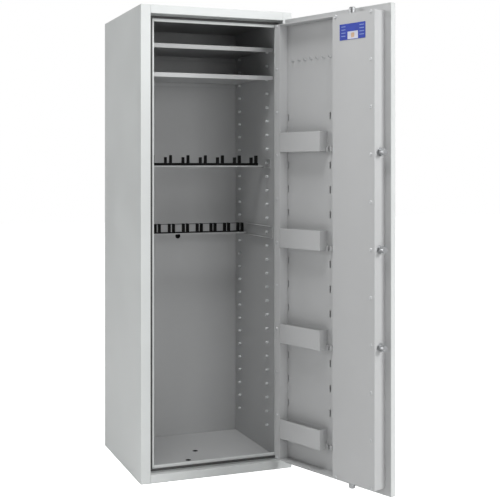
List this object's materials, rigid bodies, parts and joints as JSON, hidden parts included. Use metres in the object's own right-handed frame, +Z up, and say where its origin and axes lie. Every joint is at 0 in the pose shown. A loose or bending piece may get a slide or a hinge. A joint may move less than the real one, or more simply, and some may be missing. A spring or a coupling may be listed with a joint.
{
  "type": "gun safe",
  "caption": "Tall steel long-gun cabinet with an open boltwork door, barrel racks, upper shelves, hinged lever handle, door trays and key hooks.",
  "frame": {"origin": "centre of the cabinet body's base on the floor", "axes": "+Z up, +X to the right seen from the front, +Y to the back, so the door is on the -Y side"},
  "size_m": [0.6861, 0.9927, 1.6],
  "materials": {
    "shell_paint": "fine textured light grey powder coat",
    "inner_paint": "fine textured light grey powder coat",
    "insulation_board": "dense mineral fibre board, hidden in the walls",
    "seal_rubber": "dark grey sealing strip",
    "black_plastic": "matt black moulded plastic",
    "blue_plate": "blue plate with a blank white field",
    "brass": "plain brass",
    "zinc_steel": "bright zinc plated steel",
    "satin_steel": "satin steel"
  },
  "bodies": {
    "cabinet": {"body_side_left": "shell_paint", "body_side_right": "shell_paint", "body_top": "shell_paint", "body_bottom": "shell_paint", "body_back": "shell_paint", "liner_left": "inner_paint", "liner_right": "inner_paint", "liner_back": "inner_paint", "liner_floor": "inner_paint", "liner_ceiling": "inner_paint", "wall_insulation": "insulation_board", "rebate_seal": "seal_rubber", "support_studs": "inner_paint", "shelf_upper": "inner_paint", "shelf_lower": "inner_paint", "upper_rack_brackets": "inner_paint", "upper_rack_bar": "inner_paint", "upper_rack_comb": "black_plastic", "lower_rack_brackets": "inner_paint", "lower_rack_bar": "inner_paint", "lower_rack_comb": "black_plastic", "anchor_sleeves": "black_plastic", "hinge_lower_knuckles": "shell_paint", "hinge_pins": "zinc_steel", "hinge_washers": "brass"},
    "door": {"door_leaf": "shell_paint", "door_insulation": "insulation_board", "door_back_plate": "inner_paint", "door_box_frame": "inner_paint", "boltwork_cover": "inner_paint", "recess_panel": "inner_paint", "cover_screws": "zinc_steel", "rim_screws": "zinc_steel", "bolt_bushes": "zinc_steel", "rod_guides": "zinc_steel", "hinge_upper_knuckles": "shell_paint", "key_hooks": "zinc_steel", "door_tray_1": "inner_paint", "door_tray_2": "inner_paint", "door_tray_3": "inner_paint", "door_tray_4": "inner_paint", "rating_plate": "blue_plate", "lock_case": "zinc_steel", "spindle_bush": "brass", "handle_rosette": "satin_steel", "keyhole_escutcheon": "satin_steel"},
    "handle": {"handle_lever": "satin_steel", "drive_disc": "zinc_steel"},
    "side_boltwork": {"side_bolts": "zinc_steel", "side_bolt_bar": "zinc_steel"},
    "top_boltwork": {"top_bolt": "zinc_steel", "lock_lug": "zinc_steel"},
    "bottom_boltwork": {"bottom_bolt": "zinc_steel"},
    "key_plug": {"lock_curtain": "brass"},
    "lock_slide": {"lock_bolt": "zinc_steel"},
    "keyhole_flap": {"escutcheon_cover": "satin_steel"}
  },
  "joints": [
    {"name": "door_swing", "type": "hinge", "parent": "cabinet", "child": "door", "pos_m": [0.255, -0.259, 0.8], "axis": [0, 0, 1], "range_deg": [-109.5, 70.5]},
    {"name": "handle_turn", "type": "hinge", "parent": "door", "child": "handle", "pos_m": [0.36402, -0.59381, 0.8], "axis": [-0.9426, -0.3338, 0], "range_deg": [0, 90]},
    {"name": "side_bolts_slide", "type": "slide", "parent": "door", "child": "side_boltwork", "axis": [-0.3338, 0.9426, 0], "range_m": [0, 0.0227]},
    {"name": "top_bolt_slide", "type": "slide", "parent": "door", "child": "top_boltwork", "axis": [0, 0, -1], "range_m": [0, 0.0227]},
    {"name": "bottom_bolt_slide", "type": "slide", "parent": "door", "child": "bottom_boltwork", "axis": [0, 0, 1], "range_m": [0, 0.0227]},
    {"name": "key_turn", "type": "hinge", "parent": "door", "child": "key_plug", "pos_m": [0.352, -0.55988, 0.915], "axis": [-0.9426, -0.3338, 0], "range_deg": [0, 180]},
    {"name": "lock_bolt_slide", "type": "slide", "parent": "door", "child": "lock_slide", "axis": [0.3338, -0.9426, 0], "range_m": [0, 0.016]},
    {"name": "keyhole_flap_swing", "type": "hinge", "parent": "door", "child": "keyhole_flap", "pos_m": [0.352, -0.55988, 0.929], "axis": [-0.9426, -0.3338, 0], "range_deg": [-110, 110]}
  ],
  "couplings": [
    {"joint": "side_bolts_slide", "follows": "handle_turn", "m_per_rad": 0.014405},
    {"joint": "top_bolt_slide", "follows": "handle_turn", "m_per_rad": 0.014405},
    {"joint": "bottom_bolt_slide", "follows": "handle_turn", "m_per_rad": 0.014405},
    {"joint": "key_turn", "follows": "lock_bolt_slide", "rad_per_m": 196.34}
  ]
}
